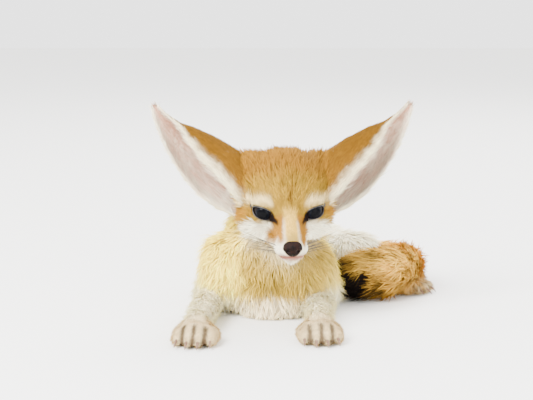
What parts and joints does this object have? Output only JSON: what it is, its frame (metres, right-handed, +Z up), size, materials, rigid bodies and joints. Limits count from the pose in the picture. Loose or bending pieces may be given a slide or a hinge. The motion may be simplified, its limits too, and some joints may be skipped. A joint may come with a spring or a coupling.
{
  "type": "fennec fox",
  "caption": "Young fennec fox lying on its breast with its head up, forelegs forward, large ears spread and its bushy tail curled round its side; a still, life-size model.",
  "frame": {"origin": "where the breastbone rests on the floor", "axes": "+Z up from the floor; -Y forward, the way the body points; +X to the fox's own left"},
  "size_m": [0.2326, 0.2916, 0.1683],
  "materials": {
    "fur_cream": "long soft yellow-cream coat",
    "fur_sand": "sandy orange coat",
    "fur_rust": "short rust-coloured fur on the ear's back, pale pink skin and white hair in its cup",
    "fur_white": "short white fur",
    "fur_black": "black-brown brush at the tail's end",
    "nose_leather": "moist, finely pebbled dark skin",
    "eye": "wet and dark, with a round pupil",
    "claw": "translucent brown horn"
  },
  "bodies": {
    "root": {"chest": "fur_cream", "ear_left": "fur_rust", "ear_right": "fur_rust", "eye_left": "eye", "eye_right": "eye", "fore_claw_left_1": "claw", "fore_claw_left_2": "claw", "fore_claw_left_3": "claw", "fore_claw_left_4": "claw", "fore_claw_right_1": "claw", "fore_claw_right_2": "claw", "fore_claw_right_3": "claw", "fore_claw_right_4": "claw", "fore_paw_left": "fur_white", "fore_paw_right": "fur_white", "forearm_left": "fur_cream", "forearm_right": "fur_cream", "head": "fur_sand", "hind_claw_left_1": "claw", "hind_claw_left_2": "claw", "hind_claw_left_3": "claw", "hind_claw_left_4": "claw", "hind_claw_right_1": "claw", "hind_claw_right_2": "claw", "hind_claw_right_3": "claw", "hind_claw_right_4": "claw", "hind_foot_left": "fur_white", "hind_foot_right": "fur_white", "hips": "fur_cream", "loin": "fur_cream", "lower_jaw": "fur_white", "neck": "fur_cream", "nose": "nose_leather", "shank_left": "fur_cream", "shank_right": "fur_cream", "tail_base": "fur_sand", "tail_middle": "fur_sand", "tail_tip": "fur_black", "thigh_left": "fur_cream", "thigh_right": "fur_cream", "upper_arm_left": "fur_cream", "upper_arm_right": "fur_cream"}
  },
  "joints": []
}
